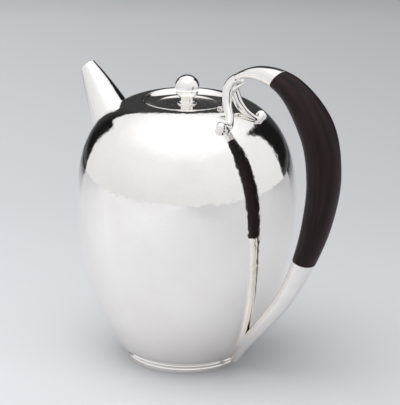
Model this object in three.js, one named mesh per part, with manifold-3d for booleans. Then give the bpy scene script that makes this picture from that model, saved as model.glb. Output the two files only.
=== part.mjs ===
// Silver coffee pot: an egg-shaped vessel on a small ring foot, a short tapered spout, a dished lid
// with a ball knob, and an arched handle whose ebony grip sits between two silver sockets.
// Millimetres, +Z up, the handle toward +X and the spout toward -X.
import * as THREE from "three";
import { mergeVertices } from "three/addons/utils/BufferGeometryUtils.js";
import Module from "manifold-3d";

const wasm = await Module();
wasm.setup();

// ---------- driving sizes ----------
const FIT = 0.3; // gap left between pieces that are soldered, seated or sliding

const BODY_RADIUS = 70;
const WIDEST_Z = 107.6;
const SHOULDER_Z = 170; // height of the mouth edge
const MOUTH_RADIUS = 28.1;
const WALL = 1.2;

const FOOT_RADIUS = 36.9;
const FOOT_RIM_HEIGHT = 3.7;
const FOOT_HEIGHT = 6; // top of the coved collar, just under the vessel
const BASE_RISE = 2; // how far the vessel's bottom is domed up inside the foot

const LID_RADIUS = MOUTH_RADIUS - FIT;
const LID_FLOOR_Z = SHOULDER_Z - 2.9; // top face of the dished middle
const LID_THICKNESS = 1;
const BALL_RADIUS = 7.8;
const BALL_Z = SHOULDER_Z + 7.8;

const SPOUT_TIP_RADIUS = 4.2;
const SPOUT_BASE_RADIUS = 19.5; // where its line starts, inside the vessel
const SPOUT_WALL = 0.9;
const STRAINER_HOLE_RADIUS = 1.6;

const GRIP_WIDTH = 24; // across the middle of the ebony, side to side
const GRIP_DEPTH = 20.4; // across the middle of the ebony, front to back
const PIN_RADIUS = 1;

const HINGE_X = MOUTH_RADIUS + 1.9;
const HINGE_Z = SHOULDER_Z + 0.2;
const KNUCKLE_RADIUS = 1.4;
const HINGE_PIN_RADIUS = 0.6;

const ROUND = 48; // facets round a turned piece

// ---------- materials ----------
const finish = (color, roughness, metalness) =>
  new THREE.MeshStandardMaterial({ color, roughness, metalness });
const silver = finish(0xd9d6d0, 0.12, 1);
const innerSilver = finish(0xc4c0b8, 0.3, 1);
const steel = finish(0xb8bcc0, 0.25, 1);
const ebony = finish(0x1d1513, 0.42, 0);

// ---------- making solids ----------
function solid(geometry) {
  const g = geometry.clone();
  g.deleteAttribute("normal");
  g.deleteAttribute("uv");
  const merged = mergeVertices(g, 1e-4);
  return new wasm.Manifold(
    new wasm.Mesh({
      numProp: 3,
      vertProperties: new Float32Array(merged.attributes.position.array),
      triVerts: new Uint32Array(merged.index.array),
    }),
  );
}

// A solid of revolution about Z, from [radius, height] points in order round the section.
function turned(points, facets = ROUND) {
  const ring = points.map(([r, z]) => new THREE.Vector2(r, z));
  const g = new THREE.LatheGeometry(ring, facets).rotateX(Math.PI / 2);
  return solid(g);
}

// A closed ring section, turned; the first point is repeated to close it.
function turnedRing(points, facets = ROUND) {
  return turned([...points, points[0]], facets);
}

// A skin over a list of rings that all have the same number of points, closed at both ends.
function loft(rings) {
  const n = rings[0].length;
  const points = rings.flat();
  const first = points.length;
  points.push(middle(rings[0]), middle(rings.at(-1)));
  const faces = [];
  for (let i = 0; i + 1 < rings.length; i++) {
    for (let j = 0; j < n; j++) {
      const a = i * n + j;
      const b = i * n + ((j + 1) % n);
      faces.push(a, a + n, b, b, a + n, b + n);
    }
  }
  const last = (rings.length - 1) * n;
  for (let j = 0; j < n; j++) {
    const k = (j + 1) % n;
    faces.push(first, j, k, first + 1, last + k, last + j);
  }
  const g = new THREE.BufferGeometry().setFromPoints(points);
  g.setIndex(faces);
  return solid(g);
}

function middle(ring) {
  const sum = new THREE.Vector3();
  for (const p of ring) sum.add(p);
  return sum.divideScalar(ring.length);
}

// An oval ring square to a line: `deep` lies in the plane of the line, `wide` across it.
function oval(centre, forward, side, deep, wide, count) {
  const across = new THREE.Vector3().crossVectors(forward, side).normalize();
  const flat = new THREE.Vector3().crossVectors(across, forward).normalize();
  return Array.from({ length: count }, (_, j) => {
    const a = (2 * Math.PI * j) / count;
    return centre
      .clone()
      .addScaledVector(across, deep * Math.cos(a))
      .addScaledVector(flat, wide * Math.sin(a));
  });
}

// A rod along a curve; `size(t)` gives [deep, wide] half-widths, `side` is a direction across it.
// Past either end of the curve the rod goes straight on.
function rod(curve, size, { from = 0, to = 1, steps = 12, count = 20, side = Y }) {
  const length = curve.getLength();
  const rings = [];
  for (let i = 0; i <= steps; i++) {
    const t = from + ((to - from) * i) / steps;
    const onCurve = THREE.MathUtils.clamp(t, 0, 1);
    const forward = curve.getTangent(onCurve);
    const centre = curve.getPoint(onCurve).addScaledVector(forward, (t - onCurve) * length);
    const [deep, wide] = size(onCurve);
    rings.push(oval(centre, forward, side, deep, wide, count));
  }
  return loft(rings);
}

function cylinder(radius, from, to, facets = 16) {
  const length = from.distanceTo(to);
  const g = new THREE.CylinderGeometry(radius, radius, length, facets);
  const turn = new THREE.Quaternion().setFromUnitVectors(Y, to.clone().sub(from).normalize());
  g.applyQuaternion(turn);
  const mid = from.clone().add(to).divideScalar(2);
  return solid(g.translate(mid.x, mid.y, mid.z));
}

function box(x0, x1, y0, y1, z0, z1) {
  const g = new THREE.BoxGeometry(x1 - x0, y1 - y0, z1 - z0);
  return solid(g.translate((x0 + x1) / 2, (y0 + y1) / 2, (z0 + z1) / 2));
}

function ball(radius, centre, facets = 24) {
  const g = new THREE.SphereGeometry(radius, facets, facets / 2).rotateX(Math.PI / 2);
  return solid(g.translate(centre.x, centre.y, centre.z));
}

const X = new THREE.Vector3(1, 0, 0);
const Y = new THREE.Vector3(0, 1, 0);
const at = (x, y, z) => new THREE.Vector3(x, y, z);

const pieces = [];
function piece(name, shape, material) {
  const m = shape.getMesh();
  const g = new THREE.BufferGeometry();
  g.setAttribute("position", new THREE.BufferAttribute(new Float32Array(m.vertProperties), 3));
  g.setIndex(new THREE.BufferAttribute(new Uint32Array(m.triVerts), 1));
  const mesh = new THREE.Mesh(g, material.clone());
  mesh.name = name;
  pieces.push(mesh);
  return shape;
}

// ---------- vessel ----------
// The outside of the vessel from the middle of its bottom to the mouth edge.
const profile = new THREE.Path();
const BOTTOM_Z = FOOT_HEIGHT + FIT;
profile.moveTo(0, BOTTOM_Z + BASE_RISE);
profile.quadraticCurveTo(0.5 * FOOT_RADIUS, BOTTOM_Z + BASE_RISE, FOOT_RADIUS - 5, BOTTOM_Z);
profile.lineTo(FOOT_RADIUS - 0.5, BOTTOM_Z);
profile.quadraticCurveTo(FOOT_RADIUS + 3, FOOT_HEIGHT + 0.8, FOOT_RADIUS + 5.2, FOOT_HEIGHT + 3.6);
profile.bezierCurveTo(
  0.871 * BODY_RADIUS,
  0.345 * WIDEST_Z,
  BODY_RADIUS,
  0.65 * WIDEST_Z,
  BODY_RADIUS,
  WIDEST_Z,
);
profile.bezierCurveTo(
  BODY_RADIUS,
  WIDEST_Z + 0.857 * (SHOULDER_Z - WIDEST_Z),
  MOUTH_RADIUS + 7,
  SHOULDER_Z,
  MOUTH_RADIUS,
  SHOULDER_Z,
);
// Points along a path, `counts` steps on each of its curves in turn.
function along(path, counts) {
  const points = [path.curves[0].getPoint(0)];
  path.curves.forEach((curve, i) => points.push(...curve.getPoints(counts[i]).slice(1)));
  return points;
}

// Points moved out (or in, when negative) square to the line they lie on.
function movedOut(points, distance) {
  return points.map((p, i) => {
    const before = points[Math.max(i - 1, 0)];
    const after = points[Math.min(i + 1, points.length - 1)];
    const run = after.clone().sub(before).normalize();
    if (i === 0) return [0, p.y - distance];
    if (i === points.length - 1) return [p.x, p.y + distance];
    return [p.x + run.y * distance, p.y - run.x * distance];
  });
}
const outline = along(profile, [3, 1, 3, 10, 10]);
const outside = movedOut(outline, 0);
const inside = movedOut(along(profile, [2, 1, 1, 6, 6]), -WALL);
const clearOfVessel = turned([...movedOut(outline, FIT), [0, SHOULDER_Z + FIT]]);

// A point a given height over the outside of the shoulder.
const shoulderCurve = profile.curves[profile.curves.length - 1];
function overShoulder(x, y, above) {
  const r = Math.hypot(x, y);
  let low = 0;
  let high = 1;
  for (let i = 0; i < 40; i++) {
    const t = (low + high) / 2;
    if (shoulderCurve.getPoint(t).x > r) low = t;
    else high = t;
  }
  return at(x, y, shoulderCurve.getPoint(low).y + above);
}

// Spout line, from inside the vessel to the pouring lip.
const spoutLine = new THREE.QuadraticBezierCurve3(
  at(-47.9, 0, 120.6),
  at(-70.1, 0, 156.6),
  at(-84.9, 0, 178.3),
);
const spoutRadius = (t) => THREE.MathUtils.lerp(SPOUT_BASE_RADIUS, SPOUT_TIP_RADIUS, t);
const spoutSize = (t) => [spoutRadius(t), spoutRadius(t)];
const boreSize = (t) => [spoutRadius(t) - SPOUT_WALL, spoutRadius(t) - SPOUT_WALL];

let vessel = turned([...outside, ...inside.reverse()]);

// Strainer: a middle hole and two rings of holes through the wall behind the spout.
const strainerMiddle = at(-62.5, 0, 144.5);
const strainerUp = at(0.447, 0, 0.894);
const strainerOut = at(-0.894, 0, 0.447);
const strainerHoles = [[0, 0]];
for (const ring of [1, 2]) {
  for (let i = 0; i < 6 * ring; i++) {
    const a = (2 * Math.PI * i) / (6 * ring);
    strainerHoles.push([4.4 * ring * Math.cos(a), 4.4 * ring * Math.sin(a)]);
  }
}
for (const [up, across] of strainerHoles) {
  const p = strainerMiddle.clone().addScaledVector(strainerUp, up).addScaledVector(Y, across);
  const inner = p.clone().addScaledVector(strainerOut, -5);
  const outer = p.clone().addScaledVector(strainerOut, 5);
  vessel = vessel.subtract(cylinder(STRAINER_HOLE_RADIUS, inner, outer, 8));
}

// A notch in the rear of the mouth edge, so that the hinge lies flush in the shoulder.
const NOTCH_HALF = 4.9;
const NOTCH_REAR = HINGE_X + KNUCKLE_RADIUS + 0.6;
vessel = vessel.subtract(
  box(MOUTH_RADIUS - 3, NOTCH_REAR, -NOTCH_HALF, NOTCH_HALF, SHOULDER_Z - 1.6, SHOULDER_Z + 2),
);
piece("vessel", vessel, silver);

// Seat soldered under the shoulder: a flange the lid rests on and a short skirt inside the mouth.
const SEAT_Z = SHOULDER_Z - 2;
const SKIRT_RADIUS = MOUTH_RADIUS - 2.2;
piece(
  "mouth_seat",
  turnedRing([
    [SKIRT_RADIUS, SHOULDER_Z - 12],
    [SKIRT_RADIUS + 1, SHOULDER_Z - 12],
    [SKIRT_RADIUS + 1, SEAT_Z - 1.4],
    [MOUTH_RADIUS + 2.6, SEAT_Z - 1.4],
    [MOUTH_RADIUS + 2.6, SEAT_Z],
    [SKIRT_RADIUS, SEAT_Z],
  ]),
  innerSilver,
);

// ---------- foot ----------
const coved = new THREE.Path();
coved.moveTo(FOOT_RADIUS - 4, FOOT_RIM_HEIGHT + FIT);
coved.lineTo(FOOT_RADIUS - 0.6, FOOT_RIM_HEIGHT + FIT);
const COLLAR_TOP = FOOT_RADIUS - 0.9;
coved.quadraticCurveTo(FOOT_RADIUS - 2.2, FOOT_RIM_HEIGHT + 1.1, COLLAR_TOP, FOOT_HEIGHT - 0.5);
coved.lineTo(COLLAR_TOP, FOOT_HEIGHT);
coved.lineTo(FOOT_RADIUS - 4, FOOT_HEIGHT);
const covePoints = coved.getPoints(3).map((p) => [p.x, p.y]);
piece("foot_collar", turnedRing(covePoints), silver);

const rimmed = new THREE.Path();
rimmed.moveTo(FOOT_RADIUS - 3.6, 0);
rimmed.lineTo(FOOT_RADIUS - 0.5, 0);
rimmed.quadraticCurveTo(FOOT_RADIUS, 0, FOOT_RADIUS, 0.8);
rimmed.lineTo(FOOT_RADIUS, FOOT_RIM_HEIGHT - 1.4);
rimmed.quadraticCurveTo(FOOT_RADIUS, FOOT_RIM_HEIGHT, FOOT_RADIUS - 1.2, FOOT_RIM_HEIGHT);
rimmed.lineTo(FOOT_RADIUS - 3.6, FOOT_RIM_HEIGHT);
piece("foot_rim", turnedRing(rimmed.getPoints(3).map((p) => [p.x, p.y])), silver);

// ---------- spout ----------
const spoutSkin = rod(spoutLine, spoutSize, { steps: 8, count: 28 });
const spoutBore = rod(spoutLine, boreSize, { from: -0.02, to: 1.03, steps: 8, count: 28 });
piece("spout", spoutSkin.subtract(spoutBore).subtract(clearOfVessel), silver);

// ---------- lid ----------
const RIM_IN = LID_RADIUS - 1.05;
const RIM_Z = SEAT_Z + FIT;
const dish = new THREE.Path();
dish.moveTo(0, LID_FLOOR_Z);
dish.lineTo(0.73 * LID_RADIUS, LID_FLOOR_Z);
dish.quadraticCurveTo(0.86 * LID_RADIUS, LID_FLOOR_Z + 0.2, RIM_IN - FIT, SHOULDER_Z - 0.1);
const dishTop = dish.getPoints(5).map((p) => [p.x, p.y]);
const dishUnder = dishTop.map(([r, z]) => [r, z - LID_THICKNESS]);
const STUD_RADIUS = 1.5;
const studHole = cylinder(STUD_RADIUS + FIT, at(0, 0, LID_FLOOR_Z - 6), at(0, 0, BALL_Z - 3), 16);
const cover = turned([...dishUnder, ...dishTop.reverse()]);
piece("lid_cover", cover.subtract(studHole), silver);

const bead = new THREE.Path();
bead.moveTo(RIM_IN, RIM_Z);
bead.lineTo(LID_RADIUS, RIM_Z);
bead.lineTo(LID_RADIUS, SHOULDER_Z + 0.1);
bead.quadraticCurveTo(LID_RADIUS, SHOULDER_Z + 0.3, LID_RADIUS - 0.5, SHOULDER_Z + 0.3);
bead.quadraticCurveTo(RIM_IN, SHOULDER_Z + 0.3, RIM_IN, SHOULDER_Z + 0.1);
piece("lid_rim", turnedRing(bead.getPoints(2).map((p) => [p.x, p.y])), silver);

const COLLAR_RADIUS = SKIRT_RADIUS - 1.3; // leaves room for the collar to swing clear of the skirt
piece(
  "lid_collar",
  turnedRing([
    [COLLAR_RADIUS - 1, SHOULDER_Z - 8.5],
    [COLLAR_RADIUS, SHOULDER_Z - 8.5],
    [COLLAR_RADIUS, SHOULDER_Z - 3.4],
    [COLLAR_RADIUS - 1, SHOULDER_Z - 3.4],
  ]),
  innerSilver,
);

// Knob: a plain ball on a waisted stem, drawn down by a stud and a nut under the cover.
const ballMiddle = at(0, 0, BALL_Z);
piece("knob_ball", ball(BALL_RADIUS, ballMiddle, 20).subtract(studHole), silver);
const NECK_RADIUS = 4.1;
const FLANGE_RADIUS = NECK_RADIUS + 1.9;
const waist = new THREE.Path();
const STEM_Z = LID_FLOOR_Z + FIT;
waist.moveTo(0, STEM_Z);
waist.lineTo(FLANGE_RADIUS, STEM_Z);
waist.lineTo(FLANGE_RADIUS, STEM_Z + 0.5);
waist.quadraticCurveTo(NECK_RADIUS + 0.2, STEM_Z + 0.9, NECK_RADIUS, STEM_Z + 3.6);
waist.lineTo(0, STEM_Z + 3.6);
const stem = turned(waist.getPoints(4).map((p) => [p.x, p.y]), 24);
const clearOfBall = ball(BALL_RADIUS + FIT, ballMiddle, 20);
piece("knob_stem", stem.subtract(clearOfBall).subtract(studHole), silver);
piece("knob_stud", cylinder(STUD_RADIUS, at(0, 0, LID_FLOOR_Z - 5), at(0, 0, BALL_Z - 4), 16), steel);
const NUT_TOP = LID_FLOOR_Z - LID_THICKNESS - FIT;
const nut = cylinder(3.6, at(0, 0, NUT_TOP - 2.4), at(0, 0, NUT_TOP), 6);
piece("knob_nut", nut.subtract(studHole), steel);

// ---------- hinge ----------
const onHinge = (y) => at(HINGE_X, y, HINGE_Z);
const pinHole = cylinder(HINGE_PIN_RADIUS + FIT, onHinge(-6), onHinge(6), 16);
const knuckle = (y0, y1) => cylinder(KNUCKLE_RADIUS, onHinge(y0), onHinge(y1), 20);
const leaf = (x0, x1, y0, y1) => box(x0, x1, y0, y1, HINGE_Z - 0.8, HINGE_Z + 0.6);
const MIDDLE_HALF = 1.5;
const OUTER_END = NOTCH_HALF - 0.4;
piece(
  "lid_knuckle",
  knuckle(-MIDDLE_HALF, MIDDLE_HALF)
    .add(leaf(LID_RADIUS + FIT, HINGE_X, -MIDDLE_HALF, MIDDLE_HALF))
    .subtract(pinHole),
  silver,
);
for (const [name, y0, y1] of [
  ["near_knuckle", -OUTER_END, -MIDDLE_HALF - FIT],
  ["far_knuckle", MIDDLE_HALF + FIT, OUTER_END],
]) {
  const shape = knuckle(y0, y1).add(leaf(HINGE_X, NOTCH_REAR - FIT, y0, y1));
  piece(name, shape.subtract(pinHole), silver);
}
piece("hinge_pin", cylinder(HINGE_PIN_RADIUS, onHinge(-OUTER_END), onHinge(OUTER_END), 12), steel);

// ---------- handle ----------
// One line runs from the fork over the arch, down the grip and along the tail to the foot.
const handleLine = new THREE.CatmullRomCurve3(
  [
    at(34.9, 0, SHOULDER_Z + 13.8),
    at(42.5, 0, SHOULDER_Z + 22.2),
    at(60, 0, SHOULDER_Z + 26.8),
    at(82, 0, SHOULDER_Z + 21.6),
    at(103.2, 0, SHOULDER_Z - 1),
    at(109.2, 0, 0.832 * SHOULDER_Z),
    at(105.3, 0, 0.662 * SHOULDER_Z),
    at(95.4, 0, 0.494 * SHOULDER_Z),
    at(81, 0, 0.335 * SHOULDER_Z),
    at(63.4, 0, 0.203 * SHOULDER_Z),
    at(FOOT_RADIUS + 13.1, 0, 19),
    at(FOOT_RADIUS + 4.1, 0, 5.8),
  ],
  false,
  "centripetal",
);
// Half-widths at the same points: front to back, and side to side.
const deep = GRIP_DEPTH / 2;
const wide = GRIP_WIDTH / 2;
const handleSizes = new THREE.CatmullRomCurve3(
  [
    at(2.5, 5.2, 0),
    at(2.4, 4.6, 0),
    at(4.7, 5.4, 0),
    at(0.75 * deep, 0.73 * wide, 0),
    at(deep, wide, 0),
    at(0.96 * deep, 0.97 * wide, 0),
    at(0.86 * deep, 0.83 * wide, 0),
    at(0.68 * deep, 0.63 * wide, 0),
    at(5.5, 5.5, 0),
    at(4.5, 4.5, 0),
    at(3.6, 3.6, 0),
    at(2.7, 2.7, 0),
  ],
  false,
  "centripetal",
);
const knot = (k) => k / 11;
const grownSize = (scale, grow) => (t) => {
  const s = handleSizes.getPoint(t);
  return [scale * s.x + grow, scale * s.y + grow];
};

// The two joints between silver and ebony are flat cuts; each is a point and the way it faces.
const upperJoint = { t: knot(2.58), facing: at(Math.sin(0.98), 0, -Math.cos(0.98)) };
const lowerJoint = { t: knot(6.96), facing: at(-0.26, 0, -0.966) };
for (const joint of [upperJoint, lowerJoint]) {
  joint.reach = joint.facing.dot(handleLine.getPoint(joint.t));
}
const keepAfter = (shape, { facing, reach }) => shape.trimByPlane(facing.toArray(), reach + FIT / 2);
const keepBefore = (shape, { facing, reach }) => {
  const back = facing.clone().negate();
  return shape.trimByPlane(back.toArray(), FIT / 2 - reach);
};

const TENON = 0.55; // share of the grip's section that enters a socket
const upperTenon = { from: knot(2.1), to: knot(3.2) };
const lowerTenon = { from: knot(6.7), to: knot(7.36) };
const tenon = (span, grow) =>
  rod(handleLine, grownSize(TENON, grow), { ...span, steps: 5, count: 16 });
const longer = (span) => ({ from: span.from - 0.004, to: span.to + 0.004 });

const upperPinAt = handleLine.getPoint(knot(2.34));
const lowerPinAt = handleLine.getPoint(knot(7.17));
const crossPin = (p, radius, half) => cylinder(radius, at(p.x, -half, p.z), at(p.x, half, p.z), 12);
const pinReach = (t) => handleSizes.getPoint(t).y - 0.1;

const archShape = rod(handleLine, grownSize(1, 0), { to: knot(3.2), steps: 14 });
const clearOfArch = rod(handleLine, grownSize(1, FIT), { from: -0.004, to: knot(3.2), steps: 14 });
piece(
  "handle_arch",
  keepBefore(archShape, upperJoint)
    .subtract(tenon(longer(upperTenon), FIT))
    .subtract(crossPin(upperPinAt, PIN_RADIUS + FIT, 12)),
  silver,
);

const gripSpan = { from: knot(2.1), to: knot(7.4), steps: 20, count: 24 };
const gripShape = rod(handleLine, grownSize(1, 0), gripSpan);
piece(
  "grip",
  keepBefore(keepAfter(gripShape, upperJoint), lowerJoint)
    .add(tenon(upperTenon, 0))
    .add(tenon(lowerTenon, 0))
    .subtract(crossPin(upperPinAt, PIN_RADIUS + FIT, 12))
    .subtract(crossPin(lowerPinAt, PIN_RADIUS + FIT, 12)),
  ebony,
);

const clearOfFoot = turned([
  [0, 0],
  [FOOT_RADIUS + FIT, 0],
  [FOOT_RADIUS + FIT, FOOT_RIM_HEIGHT],
  [FOOT_RADIUS - 0.3, FOOT_RIM_HEIGHT + FIT],
  [FOOT_RADIUS - 0.3, FOOT_HEIGHT + FIT],
  [0, FOOT_HEIGHT + FIT],
]);
const tailShape = rod(handleLine, grownSize(1, 0), { from: knot(6.6), steps: 20 });
piece(
  "handle_tail",
  keepAfter(tailShape, lowerJoint)
    .subtract(tenon(longer(lowerTenon), FIT))
    .subtract(crossPin(lowerPinAt, PIN_RADIUS + FIT, 12))
    .subtract(clearOfVessel)
    .subtract(clearOfFoot),
  silver,
);
piece("upper_grip_pin", crossPin(upperPinAt, PIN_RADIUS, pinReach(knot(2.34))), silver);
piece("lower_grip_pin", crossPin(lowerPinAt, PIN_RADIUS, pinReach(knot(7.17))), silver);

// Two scroll legs part below the arch, straddle the hinge and curl out onto the shoulder,
// each ending against a small ball.
const SCROLL_BALL_RADIUS = 3.5;
let clearOfLegs = null;
for (const [word, hand] of [
  ["near", -1],
  ["far", 1],
]) {
  const line = new THREE.CatmullRomCurve3(
    [
      at(34.4, hand * 2.3, SHOULDER_Z + 15.4),
      at(35.6, hand * 3.2, SHOULDER_Z + 11.6),
      overShoulder(37.2, hand * 5.2, 6.4),
      overShoulder(41.8, hand * 8, 2.1),
      overShoulder(46, hand * 13.6, 1.3),
      overShoulder(45, hand * 19.6, 4.5),
    ],
    false,
    "centripetal",
  );
  const size = (grow) => (t) => {
    const r = THREE.MathUtils.lerp(3.5, 2, t) + grow;
    return [r, r];
  };
  const ballAt = overShoulder(44.5, hand * 19.2, 2.6);
  const leg = rod(line, size(0), { to: 0.96, steps: 16, count: 14, side: X });
  const halfSpace = at(0, hand, 0).toArray();
  piece(
    word + "_scroll_leg",
    leg
      .trimByPlane(halfSpace, FIT / 2)
      .subtract(clearOfArch)
      .subtract(clearOfVessel)
      .subtract(ball(SCROLL_BALL_RADIUS + FIT, ballAt, 20)),
    silver,
  );
  piece(word + "_scroll_ball", ball(SCROLL_BALL_RADIUS, ballAt, 20).subtract(clearOfVessel), silver);
  const grown = rod(line, size(FIT), { to: 0.5, steps: 8, count: 14, side: X });
  clearOfLegs = clearOfLegs ? clearOfLegs.add(grown) : grown;
}

// A short pointed spur under the arch, above the parting of the legs.
const spurLine = new THREE.QuadraticBezierCurve3(
  at(37.6, 0, SHOULDER_Z + 12.6),
  at(41.4, 0, SHOULDER_Z + 15.9),
  at(47.4, 0, SHOULDER_Z + 19.2),
);
const spurSize = (t) => [1.5 - 1.2 * t, 1.9 - 1.6 * t];
piece(
  "arch_spur",
  rod(spurLine, spurSize, { steps: 6, count: 12 }).subtract(clearOfArch).subtract(clearOfLegs),
  silver,
);

// ---------- the whole pot ----------
const pot = new THREE.Group();
pot.name = "coffee_pot";
pot.add(...pieces);
const extent = new THREE.Box3().setFromObject(pot, true);
const middleX = (extent.min.x + extent.max.x) / 2;
for (const mesh of pieces) mesh.position.x = -middleX;

export default pot;
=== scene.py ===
"""A silver coffee pot with an ebony grip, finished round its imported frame."""

import math
import bmesh
import bpy
from mathutils import Matrix, Vector, noise


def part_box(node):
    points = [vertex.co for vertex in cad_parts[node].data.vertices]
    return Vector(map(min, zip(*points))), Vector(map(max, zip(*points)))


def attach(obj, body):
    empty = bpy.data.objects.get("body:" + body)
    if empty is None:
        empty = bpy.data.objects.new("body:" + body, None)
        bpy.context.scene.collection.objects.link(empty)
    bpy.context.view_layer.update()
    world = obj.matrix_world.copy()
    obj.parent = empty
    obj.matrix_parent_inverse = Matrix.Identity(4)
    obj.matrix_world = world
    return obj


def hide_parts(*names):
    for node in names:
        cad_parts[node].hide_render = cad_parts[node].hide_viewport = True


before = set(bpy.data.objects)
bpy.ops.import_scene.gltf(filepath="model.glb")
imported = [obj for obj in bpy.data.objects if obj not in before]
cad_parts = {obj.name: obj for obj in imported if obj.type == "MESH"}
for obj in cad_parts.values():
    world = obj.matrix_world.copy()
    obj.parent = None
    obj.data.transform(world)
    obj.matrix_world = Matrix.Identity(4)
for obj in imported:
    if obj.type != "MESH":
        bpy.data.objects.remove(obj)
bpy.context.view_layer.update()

# ---------- Camera ----------
# A long lens on the near side of the pot and a little above the lid, with the handle to the right
# and the spout to the left.
foot_low, foot_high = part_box("foot_rim")
axis_x = (foot_low.x + foot_high.x) / 2
stand_azimuth = math.radians(41.2)
stand_pitch = math.radians(17.66)
to_right = Vector((math.cos(stand_azimuth), math.sin(stand_azimuth), 0))
to_camera = Vector((math.sin(stand_azimuth), -math.cos(stand_azimuth), 0))
away = to_camera * math.cos(stand_pitch) + Vector((0, 0, math.sin(stand_pitch)))
ahead = -away
upward = to_right.cross(ahead)
pan = math.radians(0.39)
panned_ahead = ahead * math.cos(pan) + to_right * math.sin(pan)
panned_right = to_right * math.cos(pan) - ahead * math.sin(pan)
roll = math.radians(0.55)
lens_right = panned_right * math.cos(roll) + upward * math.sin(roll)
lens_up = upward * math.cos(roll) - panned_right * math.sin(roll)
camera = bpy.data.objects.new("camera", bpy.data.cameras.new("camera"))
bpy.context.scene.collection.objects.link(camera)
camera.data.lens = 189.1
camera.data.sensor_width = 36
camera.data.clip_start = 0.05
camera.data.clip_end = 60
turn = Matrix((lens_right, lens_up, -panned_ahead)).transposed().to_4x4()
aim = Vector((axis_x, 0, 0.10221)) - to_right * 0.00028
stand_back = 1.35
camera.matrix_world = Matrix.Translation(aim + away * stand_back) @ turn
bpy.context.scene.camera = camera

# ---------- Vessel ----------
# One piece of silver sheet raised by hammer into an egg, planished smooth and polished, with its mouth
# edge turned in flat. The bottom is domed up slightly so that it sits steady on the foot.
MM = 0.001
BODY_RADIUS = 70.0
WIDEST = 107.6
SHOULDER = 170.0
MOUTH_RADIUS = 28.1
SHEET = 1.2


def arc(points, steps):
    """Points along the curve that (radius, height) control points give, without its last point."""
    found = []
    for i in range(steps):
        t = i / steps
        level = [Vector(p) for p in points]
        while len(level) > 1:
            level = [a.lerp(b, t) for a, b in zip(level, level[1:])]
        found.append((level[0].x, level[0].y))
    return found


def made(name, mesh):
    """Closes a bmesh off as an object whose faces all look outward."""
    bmesh.ops.recalc_face_normals(mesh, faces=mesh.faces)
    if mesh.calc_volume(signed=True) < 0:
        bmesh.ops.reverse_faces(mesh, faces=mesh.faces)
    data = bpy.data.meshes.new(name)
    mesh.to_mesh(data)
    mesh.free()
    piece = bpy.data.objects.new(name, data)
    bpy.context.scene.collection.objects.link(piece)
    return piece


def turned(name, outline, around=192):
    """A closed outline of (radius, height), in millimetres, turned round the pot's own axis."""
    mesh = bmesh.new()
    rings = []
    for r, z in outline:
        ring = []
        for k in range(1 if r < 1e-6 else around):
            a = 2 * math.pi * k / around
            ring.append(mesh.verts.new((axis_x + r * MM * math.cos(a), r * MM * math.sin(a), z * MM)))
        rings.append(ring)
    for a, b in zip(rings, rings[1:] + rings[:1]):
        if len(a) == 1 and len(b) == 1:
            continue
        for k in range(around):
            n = (k + 1) % around
            corners = []
            for ring, place in ((a, k), (a, n), (b, n), (b, k)):
                vertex = ring[place % len(ring)]
                if vertex not in corners:
                    corners.append(vertex)
            mesh.faces.new(corners)
    return made(name, mesh)


def cut(piece, cutter, how="DIFFERENCE"):
    """Cuts one object from another, or joins them, and removes the second."""
    step = piece.modifiers.new("cut", "BOOLEAN")
    step.operation = how
    step.object = cutter
    step.solver = "EXACT"
    state = bpy.context.evaluated_depsgraph_get()
    done = bpy.data.meshes.new_from_object(piece.evaluated_get(state))
    piece.modifiers.clear()
    piece.data = done
    bpy.data.objects.remove(cutter)


def fitted(piece, body, slot, metal, *nodes, crease=32):
    """Gives a finished piece its shading, its metal or wood, and its place on the frame."""
    piece.data.shade_smooth()
    piece.data.set_sharp_from_angle(angle=math.radians(crease))
    piece.data.materials.clear()
    piece.data.materials.append(metal)
    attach(piece, body)
    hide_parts(*nodes)
    return piece


def moved_out(points, distance):
    """The same line moved square to itself."""
    found = []
    for i, here in enumerate(points):
        before = points[max(i - 1, 0)]
        after = points[min(i + 1, len(points) - 1)]
        run = Vector((after[0] - before[0], after[1] - before[1])).normalized()
        found.append((here[0] + run.y * distance, here[1] - run.x * distance))
    return found


lower_side = arc([(42.1, 9.6), (61, 37.1), (BODY_RADIUS, 69.9), (BODY_RADIUS, WIDEST)], 70)
upper_side = arc(
    [(BODY_RADIUS, WIDEST), (BODY_RADIUS, 161.1), (35.1, SHOULDER), (MOUTH_RADIUS, SHOULDER)], 90
)
bottom = arc([(0, 8.3), (18.4, 8.3), (31.9, 6.3)], 14) + arc([(31.9, 6.3), (36.4, 6.3)], 3)
turn_up = arc([(36.4, 6.3), (39.9, 6.8), (42.1, 9.6)], 6)
outside = bottom + turn_up + lower_side + upper_side
inside = moved_out(outside, -SHEET)
inside[0] = (0.0, inside[0][1])
mouth_edge = [
    (MOUTH_RADIUS + 0.3, SHOULDER),
    (MOUTH_RADIUS + 0.06, SHOULDER - 0.1),
    (MOUTH_RADIUS, SHOULDER - 0.35),
    (MOUTH_RADIUS, SHOULDER - SHEET),
]
vessel = turned("vessel", outside[:-1] + mouth_edge + inside[-2::-1], 288)

# The last of the hammering leaves the skin out of true by a few hundredths of a millimetre.
HAMMER_BLOW = 9.0
HAMMER_DEPTH = 0.03
HAMMERED_FROM = 0.012
HAMMERED_TO = 0.1695
for vertex in vessel.data.vertices:
    if vertex.co.z < HAMMERED_FROM or vertex.co.z > HAMMERED_TO:
        continue
    out = Vector((vertex.co.x - axis_x, vertex.co.y, 0)).normalized()
    wave = noise.noise(vertex.co / (HAMMER_BLOW * MM))
    wave += 0.5 * noise.noise(vertex.co / (0.45 * HAMMER_BLOW * MM))
    vertex.co += out * wave * HAMMER_DEPTH * MM


def placed(point):
    """A point in millimetres from the foot of the pot's axis, in the frame's metres."""
    return Vector((axis_x + point[0] * MM, point[1] * MM, point[2] * MM))


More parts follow.
